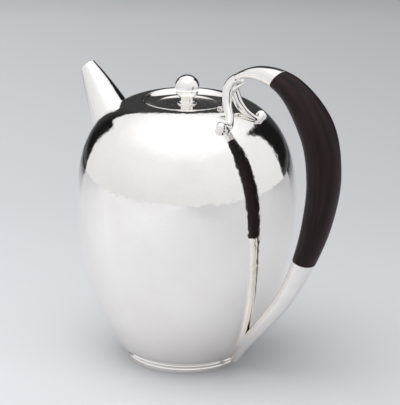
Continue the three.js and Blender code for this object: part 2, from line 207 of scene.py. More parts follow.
def round_bar(name, radius, start, end, around=48):
    """A plain round bar between two points, in millimetres from the pot's axis."""
    mesh = bmesh.new()
    low, high = placed(start), placed(end)
    lean = (high - low).to_track_quat("Z", "Y").to_matrix().to_4x4()
    bmesh.ops.create_cone(
        mesh,
        cap_ends=True,
        segments=around,
        radius1=radius * MM,
        radius2=radius * MM,
        depth=(high - low).length,
        matrix=Matrix.Translation((low + high) / 2) @ lean,
    )
    return made(name, mesh)


# Nineteen holes strain the coffee through the wall behind the spout.
STRAINER_HOLE = 1.6
STRAINER_PITCH = 4.4
strainer_middle = Vector((-62.5, 0, 144.5))
strainer_up = Vector((0.447, 0, 0.894))
strainer_out = Vector((-0.894, 0, 0.447))
for ring in range(3):
    holes = max(1, 6 * ring)
    for k in range(holes):
        angle = 2 * math.pi * k / holes
        up = STRAINER_PITCH * ring * math.cos(angle)
        aside = STRAINER_PITCH * ring * math.sin(angle)
        hole = strainer_middle + strainer_up * up + Vector((0, aside, 0))
        cut(vessel, round_bar("hole", STRAINER_HOLE, hole - strainer_out * 5, hole + strainer_out * 5, 20))


def block(name, low, high):
    """A rectangular block between two corners, in millimetres from the pot's axis."""
    mesh = bmesh.new()
    a, b = placed(low), placed(high)
    size = Matrix.Diagonal((*(b - a), 1))
    bmesh.ops.create_cube(mesh, size=1, matrix=Matrix.Translation((a + b) / 2) @ size)
    return made(name, mesh)


# The notch at the back of the mouth, where the hinge lies flush.
HINGE_X = 30.0
HINGE_Z = SHOULDER + 0.2
KNUCKLE = 1.4
NOTCH_HALF = 4.9
NOTCH_BACK = HINGE_X + KNUCKLE + 0.6
cut(vessel, block("notch", (25.1, -NOTCH_HALF, SHOULDER - 1.6), (NOTCH_BACK, NOTCH_HALF, SHOULDER + 2)))


def socket(group, name, kind, default=None, out=False):
    """Adds one input or output to a shader group."""
    made_socket = group.interface.new_socket(name=name, in_out="OUTPUT" if out else "INPUT", socket_type=kind)
    if default is not None:
        made_socket.default_value = default


def link(tree, source, target):
    """Joins one node's output to another's input."""
    tree.links.new(source, target)


def polished_skin():
    """A group for worked metal: hammer blows and hairlines as a height, rubbing as colour and roughness."""
    group = bpy.data.node_groups.new("polished_skin", "ShaderNodeTree")
    socket(group, "Blow size", "NodeSocketFloat", 120.0)
    socket(group, "Blow strength", "NodeSocketFloat", 0.5)
    socket(group, "Hairlines", "NodeSocketFloat", 0.2)
    socket(group, "Bright", "NodeSocketColor", (0.965, 0.938, 0.905, 1))
    socket(group, "Rubbed", "NodeSocketColor", (0.93, 0.898, 0.86, 1))
    socket(group, "Smoothest", "NodeSocketFloat", 0.04)
    socket(group, "Dullest", "NodeSocketFloat", 0.12)
    socket(group, "Colour", "NodeSocketColor", out=True)
    socket(group, "Roughness", "NodeSocketFloat", out=True)
    socket(group, "Height", "NodeSocketFloat", out=True)
    nodes = group.nodes
    given = nodes.new("NodeGroupInput")
    kept = nodes.new("NodeGroupOutput")
    where = nodes.new("ShaderNodeTexCoord")
    blows = nodes.new("ShaderNodeTexNoise")
    blows.inputs["Detail"].default_value = 1.5
    blows.inputs["Roughness"].default_value = 0.4
    link(group, where.outputs["Object"], blows.inputs["Vector"])
    link(group, given.outputs["Blow size"], blows.inputs["Scale"])
    blow_height = nodes.new("ShaderNodeMath")
    blow_height.operation = "MULTIPLY"
    link(group, blows.outputs["Fac"], blow_height.inputs[0])
    link(group, given.outputs["Blow strength"], blow_height.inputs[1])
    stretch = nodes.new("ShaderNodeMapping")
    stretch.inputs["Scale"].default_value = (900, 900, 9000)
    stretch.inputs["Rotation"].default_value = (0.35, 0.2, 0.4)
    link(group, where.outputs["Object"], stretch.inputs["Vector"])
    hairs = nodes.new("ShaderNodeTexNoise")
    hairs.inputs["Scale"].default_value = 1.0
    hairs.inputs["Detail"].default_value = 2.0
    link(group, stretch.outputs["Vector"], hairs.inputs["Vector"])
    hair_height = nodes.new("ShaderNodeMath")
    hair_height.operation = "MULTIPLY_ADD"
    link(group, hairs.outputs["Fac"], hair_height.inputs[0])
    link(group, given.outputs["Hairlines"], hair_height.inputs[1])
    link(group, blow_height.outputs["Value"], hair_height.inputs[2])
    link(group, hair_height.outputs["Value"], kept.inputs["Height"])
    rubbing = nodes.new("ShaderNodeTexNoise")
    rubbing.inputs["Scale"].default_value = 34.0
    rubbing.inputs["Detail"].default_value = 5.0
    rubbing.inputs["Roughness"].default_value = 0.62
    link(group, where.outputs["Object"], rubbing.inputs["Vector"])
    share = nodes.new("ShaderNodeMapRange")
    share.interpolation_type = "SMOOTHSTEP"
    share.inputs["From Min"].default_value = 0.38
    share.inputs["From Max"].default_value = 0.68
    link(group, rubbing.outputs["Fac"], share.inputs["Value"])
    tint = nodes.new("ShaderNodeMix")
    tint.data_type = "RGBA"
    link(group, share.outputs["Result"], tint.inputs["Factor"])
    link(group, given.outputs["Bright"], tint.inputs["A"])
    link(group, given.outputs["Rubbed"], tint.inputs["B"])
    link(group, tint.outputs["Result"], kept.inputs["Colour"])
    dull = nodes.new("ShaderNodeMapRange")
    link(group, share.outputs["Result"], dull.inputs["Value"])
    link(group, given.outputs["Smoothest"], dull.inputs["To Min"])
    link(group, given.outputs["Dullest"], dull.inputs["To Max"])
    link(group, dull.outputs["Result"], kept.inputs["Roughness"])
    return group


skin = polished_skin()


def worked_metal(name, bump, **settings):
    """A metal with the worked skin's colour, roughness and height, each with this piece's own values."""
    metal = bpy.data.materials.new(name)
    metal.use_nodes = True
    tree = metal.node_tree
    shader = tree.nodes["Principled BSDF"]
    shader.inputs["Metallic"].default_value = 1.0
    worked = tree.nodes.new("ShaderNodeGroup")
    worked.node_tree = skin
    for word, value in settings.items():
        worked.inputs[word.replace("_", " ").capitalize()].default_value = value
    link(tree, worked.outputs["Colour"], shader.inputs["Base Color"])
    link(tree, worked.outputs["Roughness"], shader.inputs["Roughness"])
    relief = tree.nodes.new("ShaderNodeBump")
    relief.inputs["Strength"].default_value = 1.0
    relief.inputs["Distance"].default_value = bump
    link(tree, worked.outputs["Height"], relief.inputs["Height"])
    link(tree, relief.outputs["Normal"], shader.inputs["Normal"])
    return metal


raised_silver = worked_metal(
    "raised_silver",
    0.00016,
    blow_size=270.0,
    blow_strength=0.5,
    hairlines=0.006,
    smoothest=0.05,
    dullest=0.1,
)
fitted(vessel, "pot", "silver", raised_silver, "vessel")

# ---------- Mouth seat ----------
# A flanged ring of silver soldered under the shoulder: the lid rests on its flange and is kept in
# line by its short skirt. It is left duller than the outside, as a polishing wheel can't reach it.
SEAT_Z = SHOULDER - 2.0
SKIRT = MOUTH_RADIUS - 2.2
mouth_seat = turned(
    "mouth_seat",
    [
        (SKIRT, SHOULDER - 12),
        (SKIRT + 0.5, SHOULDER - 12.2),
        (SKIRT + 1, SHOULDER - 12),
        (SKIRT + 1, SEAT_Z - 1.6),
        (SKIRT + 1.2, SEAT_Z - 1.4),
        (MOUTH_RADIUS + 2.6, SEAT_Z - 1.4),
        (MOUTH_RADIUS + 2.6, SEAT_Z),
        (SKIRT + 0.3, SEAT_Z),
        (SKIRT, SEAT_Z - 0.3),
    ],
)
inner_silver = worked_metal(
    "inner_silver",
    0.00004,
    blow_size=300.0,
    blow_strength=0.4,
    hairlines=0.08,
    bright=(0.86, 0.84, 0.79, 1),
    rubbed=(0.74, 0.70, 0.62, 1),
    smoothest=0.16,
    dullest=0.34,
)
fitted(mouth_seat, "pot", "inner_silver", inner_silver, "mouth_seat")

# ---------- Foot ----------
# A ring the pot stands on, rolled from heavy strip with rounded edges, and above it a coved collar
# that is soldered to the bottom of the vessel.
FOOT_RADIUS = 36.9
RIM_HEIGHT = 3.7
RIM_SHOULDER = (FOOT_RADIUS - 1.2, RIM_HEIGHT)
foot_rim = turned(
    "foot_rim",
    [(FOOT_RADIUS - 3.6, 0), (FOOT_RADIUS - 0.5, 0)]
    + arc([(FOOT_RADIUS - 0.4, 0), (FOOT_RADIUS, 0), (FOOT_RADIUS, 0.8)], 5)
    + [(FOOT_RADIUS, 0.8), (FOOT_RADIUS, RIM_HEIGHT - 1.4)]
    + arc([(FOOT_RADIUS, RIM_HEIGHT - 1.4), (FOOT_RADIUS, RIM_HEIGHT), RIM_SHOULDER], 8)[1:]
    + [RIM_SHOULDER, (FOOT_RADIUS - 3.6, RIM_HEIGHT)],
    256,
)
fitted(foot_rim, "pot", "silver", raised_silver, "foot_rim")
COLLAR_TOP = FOOT_RADIUS - 0.7
foot_collar = turned(
    "foot_collar",
    [(FOOT_RADIUS - 4, RIM_HEIGHT - 0.1), (FOOT_RADIUS - 0.8, RIM_HEIGHT - 0.1)]
    + arc([(FOOT_RADIUS - 0.8, RIM_HEIGHT), (FOOT_RADIUS - 2.4, RIM_HEIGHT + 1.2), (COLLAR_TOP, 6.1)], 8)
    + [(COLLAR_TOP, 6.1), (COLLAR_TOP, 6.4), (FOOT_RADIUS - 4, 6.4)],
    256,
)
fitted(foot_collar, "pot", "silver", raised_silver, "foot_collar")

# ---------- Spout ----------
# A tapering tube bent up from sheet and seamed, cut square at the lip, its root shaped to the
# shoulder and soldered on with a thin fillet of solder.
SPOUT_ROOT_RADIUS = 19.5
SPOUT_TIP_RADIUS = 4.8
SPOUT_SWELL = 0.55
SPOUT_WALL = 0.9
SPOUT_LENGTH = 68
POURING_LIP = 0.8
LIP_FROM = 0.84
FILLET_REACH = 3.5
FILLET_HEIGHT = 0.7
spout_points = [Vector((-47.9, 0, 120.6)), Vector((-70.1, 0, 156.6)), Vector((-86.2, 0, 178.0))]


def shell_radius(z):
    """The vessel's outside radius at a height."""
    side = lower_side + upper_side
    for (r0, z0), (r1, z1) in zip(side, side[1:]):
        if z0 <= z <= z1:
            return r0 + (r1 - r0) * (z - z0) / max(z1 - z0, 1e-9)
    return 0.0 if z > SHOULDER else side[0][0]


def bent(a, b, c, t):
    """Middle and direction of a line that leaves a toward b and arrives at c, at t along it."""
    middle = a * (1 - t) ** 2 + b * 2 * t * (1 - t) + c * t * t
    return middle, ((b - a) * (1 - t) + (c - b) * t).normalized()


def spout_point(t, angle, inset=0.0):
    """A point on the spout, at t along it and an angle round it, `inset` under its outer face."""
    middle, forward = bent(*spout_points, t)
    out = Vector((-forward.z, 0, forward.x)) * math.cos(angle) + Vector((0, math.sin(angle), 0))
    radius = SPOUT_ROOT_RADIUS + (SPOUT_TIP_RADIUS - SPOUT_ROOT_RADIUS) * t
    radius += SPOUT_SWELL * math.sin(math.pi * min(t, 1.0))
    radius += POURING_LIP * max(0.0, (t - LIP_FROM) / (1 - LIP_FROM)) ** 2 * max(0.0, math.cos(angle))
    return middle + out * (radius - inset), out


def leaves_shell(angle, inset):
    """How far along the spout a line on it comes out of the vessel."""
    low, high = 0.0, 0.95
    for _ in range(30):
        t = (low + high) / 2
        p, _ = spout_point(t, angle, inset)
        if math.hypot(p.x, p.y) > shell_radius(p.z):
            high = t
        else:
            low = t
    return high


def lip_end(angle):
    """How far along the spout its lip is cut, a little lower at the pouring side."""
    return 0.972 - 0.02 * math.cos(angle)


def spout_line(angle, outer=55, lip=8, inner=29):
    """The spout's wall cut along one line: up its outer face, over the rounded lip and down inside."""
    start, end = leaves_shell(angle, 0), lip_end(angle)
    line = []
    for i in range(outer + 1):
        t = start + (end - start) * (i / outer) ** 1.3
        p, out = spout_point(t, angle)
        risen = (t - start) * SPOUT_LENGTH
        if risen < FILLET_REACH:
            p += out * FILLET_HEIGHT * (1 - risen / FILLET_REACH) ** 2
        line.append(p)
    sunk = (shell_radius(line[0].z) - 0.1) / math.hypot(line[0].x, line[0].y)
    line[0] = Vector((line[0].x * sunk, line[0].y * sunk, line[0].z))
    last, out = spout_point(end, angle)
    over = (spout_points[2] - spout_points[1]).normalized()
    for i in range(1, lip):
        a = math.pi * i / lip
        line.append(last - out * SPOUT_WALL / 2 * (1 - math.cos(a)) + over * 0.35 * math.sin(a))
    start = leaves_shell(angle, SPOUT_WALL)
    for i in range(inner + 1):
        p, _ = spout_point(end + (start - end) * i / inner, angle, SPOUT_WALL)
        line.append(p)
    return line


SPOUT_AROUND = 160
mesh = bmesh.new()
columns = []
for k in range(SPOUT_AROUND):
    columns.append([mesh.verts.new(placed(p)) for p in spout_line(2 * math.pi * k / SPOUT_AROUND)])
for a, b in zip(columns, columns[1:] + columns[:1]):
    for i in range(len(a)):
        n = (i + 1) % len(a)
        mesh.faces.new((a[i], a[n], b[n], b[i]))
spout = made("spout", mesh)
fitted(spout, "pot", "silver", raised_silver, "spout")

# ---------- Lid ----------
# A dished disc with a fine wire soldered round its edge, and a short tube below it that drops inside
# the mouth. The middle of the dish is flat, and its edge curves up to the wire.
LID_RADIUS = 27.8
LID_FLOOR = SHOULDER - 2.9
WIRE_IN = LID_RADIUS - 1.05
WIRE_TOP = SHOULDER + 0.26
WIRE_FOOT = (WIRE_IN - 0.05, SHOULDER + 0.02)
dish_top = arc([(0, LID_FLOOR), (0.7 * LID_RADIUS, LID_FLOOR)], 12)
dish_top += arc(
    [(0.7 * LID_RADIUS, LID_FLOOR), (0.86 * LID_RADIUS, LID_FLOOR + 0.1), (WIRE_IN, SHOULDER - 0.05)], 24
)
dish_top.append((WIRE_IN, SHOULDER - 0.05))
dish_under = [(r, z - 1.0) for r, z in dish_top]
lid_cover = turned("lid_cover", dish_top + dish_under[::-1], 224)
lid_silver = worked_metal(
    "lid_silver",
    0.00002,
    blow_size=420.0,
    blow_strength=0.5,
    hairlines=0.1,
    smoothest=0.06,
    dullest=0.16,
)
fitted(lid_cover, "lid", "silver", lid_silver, "lid_cover")
lid_rim = turned(
    "lid_rim",
    [(WIRE_IN - 0.05, SEAT_Z + 0.3), (LID_RADIUS, SEAT_Z + 0.3), (LID_RADIUS, SHOULDER)]
    + arc([(LID_RADIUS, SHOULDER), (LID_RADIUS, WIRE_TOP - 0.02), (LID_RADIUS - 0.26, WIRE_TOP)], 8)[1:]
    + [(LID_RADIUS - 0.26, WIRE_TOP)]
    + arc([(WIRE_IN + 0.2, WIRE_TOP - 0.02), (WIRE_IN, WIRE_TOP - 0.02), WIRE_FOOT], 6)
    + [WIRE_FOOT],
    256,
)
fitted(lid_rim, "lid", "silver", lid_silver, "lid_rim")
TUBE = SKIRT - 1.3
lid_collar = turned(
    "lid_collar",
    [
        (TUBE - 1, SHOULDER - 8.3),
        (TUBE - 0.5, SHOULDER - 8.5),
        (TUBE, SHOULDER - 8.3),
        (TUBE, SHOULDER - 3.7),
        (TUBE - 1, SHOULDER - 3.7),
    ],
)
fitted(lid_collar, "lid", "inner_silver", inner_silver, "lid_collar")

# ---------- Knob ----------
# A silver ball on a waisted stem with a flange. A steel stud runs up through the lid into the ball
# and a hexagon nut under the lid draws the three together.
BALL_RADIUS = 7.8
BALL_Z = SHOULDER + 7.8
ball_side = []
for i in range(1, 72):
    a = math.pi * i / 72
    ball_side.append((BALL_RADIUS * math.sin(a), BALL_Z - BALL_RADIUS * math.cos(a)))
knob_ball = turned("knob_ball", [(0, BALL_Z - BALL_RADIUS)] + ball_side + [(0, BALL_Z + BALL_RADIUS)], 128)
fitted(knob_ball, "lid", "silver", lid_silver, "knob_ball")
NECK = 4.1
FLANGE = NECK + 1.9
FLANGE_TOP = (FLANGE - 0.3, LID_FLOOR + 0.75)
WAIST = (NECK + 0.05, LID_FLOOR + 1.6)
STEM_TOP = LID_FLOOR + 4.6
knob_stem = turned(
    "knob_stem",
    [(0, LID_FLOOR - 0.05), (FLANGE - 0.3, LID_FLOOR - 0.05)]
    + arc([(FLANGE - 0.3, LID_FLOOR), (FLANGE + 0.3, LID_FLOOR + 0.35), FLANGE_TOP], 8)
    + arc([FLANGE_TOP, (NECK + 0.2, LID_FLOOR + 0.8), WAIST], 8)
    + arc([WAIST, (NECK - 0.15, LID_FLOOR + 2.8), (NECK + 0.35, STEM_TOP)], 8)
    + [(NECK + 0.35, STEM_TOP), (0, STEM_TOP)],
    128,
)
fitted(knob_stem, "lid", "silver", lid_silver, "knob_stem")
steel = worked_metal(
    "steel",
    0.00003,
    blow_size=500.0,
    blow_strength=0.3,
    hairlines=0.3,
    bright=(0.62, 0.63, 0.64, 1),
    rubbed=(0.5, 0.5, 0.5, 1),
    smoothest=0.2,
    dullest=0.35,
)
STUD_RADIUS = 1.5
STUD_TOP = BALL_Z - 4
THREAD_DEPTH = 0.16
THREAD_STEP = 0.25
knob_stud = turned(
    "knob_stud",
    [(0, LID_FLOOR - 5), (STUD_RADIUS - 0.4, LID_FLOOR - 5), (STUD_RADIUS, LID_FLOOR - 4.6)]
    + [(STUD_RADIUS - THREAD_DEPTH * (i % 2), LID_FLOOR - 4.5 + THREAD_STEP * i) for i in range(15)]
    + [(STUD_RADIUS, LID_FLOOR - 0.5), (STUD_RADIUS, STUD_TOP), (0, STUD_TOP)],
    64,
)
fitted(knob_stud, "lid", "steel", steel, "knob_stud")
NUT_RADIUS = 3.6
NUT_HEIGHT = 2.4
mesh = bmesh.new()
bmesh.ops.create_cone(
    mesh,
    cap_ends=True,
    segments=6,
    radius1=NUT_RADIUS * MM,
    radius2=NUT_RADIUS * MM,
    depth=NUT_HEIGHT * MM,
    matrix=Matrix.Translation(placed((0, 0, LID_FLOOR - 2.25))),
)
bmesh.ops.bevel(mesh, geom=mesh.edges[:], offset=0.25 * MM, segments=3, affect="EDGES", profile=0.5)
knob_nut = made("knob_nut", mesh)
cut(knob_nut, round_bar("bore", 1.55, (0, 0, LID_FLOOR - 8), (0, 0, LID_FLOOR + 2)))
fitted(knob_nut, "lid", "steel", steel, "knob_nut")

# ---------- Hinge ----------
# Three knuckles on a steel pin: the middle one is soldered to the lid's wire and the outer two to
# the shoulder, in a notch that lets the lid turn up toward the handle.
OUTER_END = NOTCH_HALF - 0.4
MIDDLE_HALF = 1.5


def knuckle(name, y0, y1, leaf_end):
    """A round knuckle with a flat leaf that runs to leaf_end, and the pin's hole through it."""
    made_knuckle = round_bar(name, KNUCKLE, (HINGE_X, y0, HINGE_Z), (HINGE_X, y1, HINGE_Z), 64)
    leaf_low = (min(leaf_end, HINGE_X), y0, HINGE_Z - 0.8)
    leaf_high = (max(leaf_end, HINGE_X), y1, HINGE_Z + 0.6)
    cut(made_knuckle, block("leaf", leaf_low, leaf_high), "UNION")
    bore = round_bar("bore", 0.66, (HINGE_X, y0 - 2, HINGE_Z), (HINGE_X, y1 + 2, HINGE_Z), 40)
    cut(made_knuckle, bore)
    softened = bmesh.new()
    softened.from_mesh(made_knuckle.data)
    sharp = [e for e in softened.edges if e.is_manifold and e.calc_face_angle(0) > math.radians(50)]
    bmesh.ops.bevel(softened, geom=sharp, offset=0.12 * MM, segments=2, affect="EDGES", profile=0.5)
    softened.to_mesh(made_knuckle.data)
    softened.free()
    return made_knuckle


for name, body, y0, y1, leaf_end in (
    ("lid_knuckle", "lid", -MIDDLE_HALF, MIDDLE_HALF, LID_RADIUS - 0.2),
    ("near_knuckle", "pot", -OUTER_END, -MIDDLE_HALF - 0.15, HINGE_X + KNUCKLE + 0.7),
    ("far_knuckle", "pot", MIDDLE_HALF + 0.15, OUTER_END, HINGE_X + KNUCKLE + 0.7),
):
    fitted(knuckle(name, y0, y1, leaf_end), body, "silver", lid_silver, name)
PIN_END = OUTER_END + 0.1
hinge_pin = round_bar("hinge_pin", 0.6, (HINGE_X, -PIN_END, HINGE_Z), (HINGE_X, PIN_END, HINGE_Z), 40)
fitted(hinge_pin, "pot", "steel", steel, "hinge_pin")

# ---------- Handle arch ----------
# The upper socket: a heavy silver arch that rises out of the fork, swells, and is bored out for the
# grip's tenon. A silver pin is driven across the two and filed flush.
handle_knots = [
    (34.9, 183.8),
    (42.5, 192.2),
    (60, 196.8),
    (82, 191.6),
    (103.2, 169),
    (109.2, 141.5),
    (105.3, 112.5),
    (95.4, 84),
    (81, 57),
    (63.4, 34.5),
    (50, 19),
    (41, 5.8),
]
GRIP_HALF_DEEP = 10.2
GRIP_HALF_WIDE = 12.0
handle_halves = [
    (2.5, 5.2),
    (2.4, 4.6),
    (4.7, 5.4),
    (0.75 * GRIP_HALF_DEEP, 0.73 * GRIP_HALF_WIDE),
    (GRIP_HALF_DEEP, GRIP_HALF_WIDE),
    (0.96 * GRIP_HALF_DEEP, 0.97 * GRIP_HALF_WIDE),
    (0.86 * GRIP_HALF_DEEP, 0.83 * GRIP_HALF_WIDE),
    (0.68 * GRIP_HALF_DEEP, 0.63 * GRIP_HALF_WIDE),
    (5.5, 5.5),
    (4.5, 4.5),
    (3.6, 3.6),
    (2.7, 2.7),
]


def along(knots, t):
    """A smooth line through its knots, at t knots from the first."""
    last = len(knots) - 1
    i = min(max(int(t), 0), last - 1)
    w = min(max(t - i, 0.0), 1.0)
    b, c = Vector(knots[i]), Vector(knots[i + 1])
    a = Vector(knots[i - 1]) if i > 0 else b * 2 - c
    d = Vector(knots[i + 2]) if i + 2 <= last else c * 2 - b
    gap = [max((q - p).length ** 0.5, 1e-4) for p, q in ((a, b), (b, c), (c, d))]
    start = ((b - a) / gap[0] - (c - a) / (gap[0] + gap[1]) + (c - b) / gap[1]) * gap[1]
    end = ((c - b) / gap[1] - (d - b) / (gap[1] + gap[2]) + (d - c) / gap[2]) * gap[1]
    bend = c * 3 - b * 3 - start * 2 - end
    twist = b * 2 - c * 2 + start + end
    return b + start * w + bend * w**2 + twist * w**3


def handle_place(t):
    """Middle, direction and half-widths of the handle, t knots from the fork."""
    middle = along(handle_knots, t)
    run = along(handle_knots, min(t + 0.01, len(handle_knots) - 1)) - along(handle_knots, max(t - 0.01, 0))
    return Vector((middle.x, 0, middle.y)), Vector((run.x, 0, run.y)).normalized(), along(handle_halves, t)


def oval(middle, forward, half, shrunk=1.0, around=96):
    """One oval ring of points square to a direction in the handle's plane."""
    out = Vector((-forward.z, 0, forward.x))
    ring = []
    for k in range(around):
        a = 2 * math.pi * k / around
        wide = half.y * shrunk * math.sin(a)
        ring.append(middle + out * half.x * shrunk * math.cos(a) + Vector((0, wide, 0)))
    return ring


def swept(name, rings, board=None):
    """A closed skin over rings of equal count; board keeps the place of each point in the wood."""
    mesh = bmesh.new()
    kept = mesh.verts.layers.float_vector.new("board") if board else None
    skin_rings = []
    for n, ring in enumerate(rings):
        made_ring = [mesh.verts.new(placed(p)) for p in ring]
        if board:
            for vertex, place in zip(made_ring, board[n]):
                vertex[kept] = place
        skin_rings.append(made_ring)
    for a, b in zip(skin_rings, skin_rings[1:]):
        for k in range(len(a)):
            n = (k + 1) % len(a)
            mesh.faces.new((a[k], a[n], b[n], b[k]))
    mesh.faces.new(skin_rings[0])
    mesh.faces.new(skin_rings[-1])
    return made(name, mesh)


def handle_rings(start, end, steps, around=96):
    """Oval rings along the handle, with the place of each point along, across and through the wood."""
    rings, boards = [], []
    travelled = 0.0
    previous = None
    for i in range(steps + 1):
        t = start + (end - start) * i / steps
        middle, forward, half = handle_place(t)
        travelled += (middle - previous).length if previous else 0.0
        previous = middle
        out = Vector((-forward.z, 0, forward.x))
        ring, board = [], []
        for k in range(around):
            a = 2 * math.pi * k / around
            deep, wide = half.x * math.cos(a), half.y * math.sin(a)
            ring.append(middle + out * deep + Vector((0, wide, 0)))
            board.append((travelled, deep, wide))
        rings.append(ring)
        boards.append(board)
    return rings, boards


def trimmed(piece, point, facing, soften=0.25):
    """Cuts a piece off flat, keeps the side that `facing` points to, closes the cut and softens its edge."""
    work = bmesh.new()
    work.from_mesh(piece.data)
    everything = work.verts[:] + work.edges[:] + work.faces[:]
    bmesh.ops.bisect_plane(work, geom=everything, plane_co=placed(point), plane_no=facing, clear_inner=True)
    open_edges = [e for e in work.edges if e.is_boundary]
    bmesh.ops.edgeloop_fill(work, edges=open_edges)
    bmesh.ops.recalc_face_normals(work, faces=work.faces)
    rim = [e for e in open_edges if e.is_valid and e.is_manifold]
    bmesh.ops.bevel(work, geom=rim, offset=soften * MM, segments=3, affect="EDGES", profile=0.5)
    work.to_mesh(piece.data)
    work.free()


upper_joint, _, _ = handle_place(2.58)
upper_facing = Vector((math.sin(0.98), 0, -math.cos(0.98)))
lower_joint, _, _ = handle_place(6.96)
lower_facing = Vector((-0.26, 0, -0.966)).normalized()

ARCH_NOSE = 2.2
rings, _ = handle_rings(0.0, 3.2, 70)
middle, forward, half = handle_place(0.0)
for share in (0.4, 0.7, 0.9, 1.0):
    spot = middle - forward * ARCH_NOSE * share
    rings.insert(0, oval(spot, forward, half, max(math.sqrt(1 - share**2), 0.02)))
handle_arch = swept("handle_arch", rings)
trimmed(handle_arch, upper_joint - upper_facing * 0.04, -upper_facing)
handle_silver = worked_metal(
    "handle_silver",
    0.00003,
    blow_size=260.0,
    blow_strength=0.5,
    hairlines=0.03,
    smoothest=0.06,
    dullest=0.14,
)
fitted(handle_arch, "pot", "silver", handle_silver, "handle_arch")

# ---------- Grip ----------
# A crescent of ebony, sawn and filed to an oval and oiled to a low sheen. Its grain runs from end to
# end, and its two tenons are let into the silver sockets.
rings, boards = handle_rings(2.1, 7.4, 130, 128)
grip = swept("grip", rings, boards)
trimmed(grip, upper_joint + upper_facing * 0.04, upper_facing, 0.3)
trimmed(grip, lower_joint - lower_facing * 0.04, -lower_facing, 0.3)

ebony = bpy.data.materials.new("ebony")
ebony.use_nodes = True
tree = ebony.node_tree
shader = tree.nodes["Principled BSDF"]
shader.inputs["Specular IOR Level"].default_value = 0.15
block_place = tree.nodes.new("ShaderNodeAttribute")
block_place.attribute_name = "board"
growth = tree.nodes.new("ShaderNodeMapping")
growth.inputs["Scale"].default_value = (0.014, 0.34, 0.34)
link(tree, block_place.outputs["Vector"], growth.inputs["Vector"])
rings_noise = tree.nodes.new("ShaderNodeTexNoise")
rings_noise.inputs["Scale"].default_value = 1.0
rings_noise.inputs["Detail"].default_value = 6.0
rings_noise.inputs["Roughness"].default_value = 0.6
rings_noise.inputs["Distortion"].default_value = 0.25
link(tree, growth.outputs["Vector"], rings_noise.inputs["Vector"])
wood_tone = tree.nodes.new("ShaderNodeValToRGB")
wood_tone.color_ramp.elements[0].position = 0.32
wood_tone.color_ramp.elements[0].color = (0.006, 0.003, 0.0035, 1)
wood_tone.color_ramp.elements[1].position = 0.72
wood_tone.color_ramp.elements[1].color = (0.026, 0.0125, 0.0135, 1)
link(tree, rings_noise.outputs["Fac"], wood_tone.inputs["Fac"])
link(tree, wood_tone.outputs["Color"], shader.inputs["Base Color"])
pores_place = tree.nodes.new("ShaderNodeMapping")
pores_place.inputs["Scale"].default_value = (0.35, 6.0, 6.0)
link(tree, block_place.outputs["Vector"], pores_place.inputs["Vector"])
pores = tree.nodes.new("ShaderNodeTexNoise")
pores.inputs["Scale"].default_value = 1.0
pores.inputs["Detail"].default_value = 3.0
link(tree, pores_place.outputs["Vector"], pores.inputs["Vector"])
sheen_range = tree.nodes.new("ShaderNodeMapRange")
sheen_range.inputs["From Min"].default_value = 0.35
sheen_range.inputs["From Max"].default_value = 0.7
sheen_range.inputs["To Min"].default_value = 0.34
sheen_range.inputs["To Max"].default_value = 0.5
link(tree, pores.outputs["Fac"], sheen_range.inputs["Value"])
link(tree, sheen_range.outputs["Result"], shader.inputs["Roughness"])
wood_relief = tree.nodes.new("ShaderNodeBump")
wood_relief.inputs["Strength"].default_value = 0.6
wood_relief.inputs["Distance"].default_value = 0.00012
link(tree, pores.outputs["Fac"], wood_relief.inputs["Height"])
link(tree, wood_relief.outputs["Normal"], shader.inputs["Normal"])
fitted(grip, "pot", "ebony", ebony, "grip")

# ---------- Handle tail ----------
# The lower socket, drawn out into a long round taper that follows the belly down and is soldered to
# the vessel and the foot.
TAIL_END = 10.9
rings, _ = handle_rings(6.6, TAIL_END, 110)
middle, forward, half = handle_place(TAIL_END)
for share in (0.35, 0.62, 0.82, 0.95, 1.0):
    spot = middle + forward * half.x * share
    rings.append(oval(spot, forward, half, max(math.sqrt(1 - share**2), 0.02)))
handle_tail = swept("handle_tail", rings)
trimmed(handle_tail, lower_joint + lower_facing * 0.04, lower_facing)


def pot_core(inset):
    """The vessel and foot as one solid, a little smaller, for shaping what is soldered to them."""
    side = moved_out(turn_up + lower_side + upper_side, -inset)[3:]
    rim = FOOT_RADIUS - inset
    foot = [(0, 0.4), (rim, 0.4), (rim, RIM_HEIGHT - inset), (FOOT_RADIUS - 1.5, 6.6)]
    return turned("core", foot + side + [(0, side[-1][1])], 192)


SOLDERED_IN = 0.25
cut(handle_tail, pot_core(SOLDERED_IN))
fitted(handle_tail, "pot", "silver", handle_silver, "handle_tail")

# ---------- Grip pins ----------
# A short rod of silver crosses each socket and its tenon. It is driven through a drilled hole and
# filed flush with the socket on both sides.
for name, t in (("upper_grip_pin", 2.34), ("lower_grip_pin", 7.17)):
    middle, _, half = handle_place(t)
    reach = half.y + 0.03
    pin = round_bar(name, 1.0, (middle.x, -reach, middle.z), (middle.x, reach, middle.z), 48)
    fitted(pin, "pot", "silver", handle_silver, name)

# ---------- Scroll legs and beads ----------
# Below the arch the handle parts into two round wires that straddle the hinge and curl outward on the
# shoulder. A silver bead is soldered into each curl.
BEAD_RADIUS = 3.5
LEG_RADII = (3.1, 2.1)
LEG_SWELL = 0.5
SWELL_END = 0.8


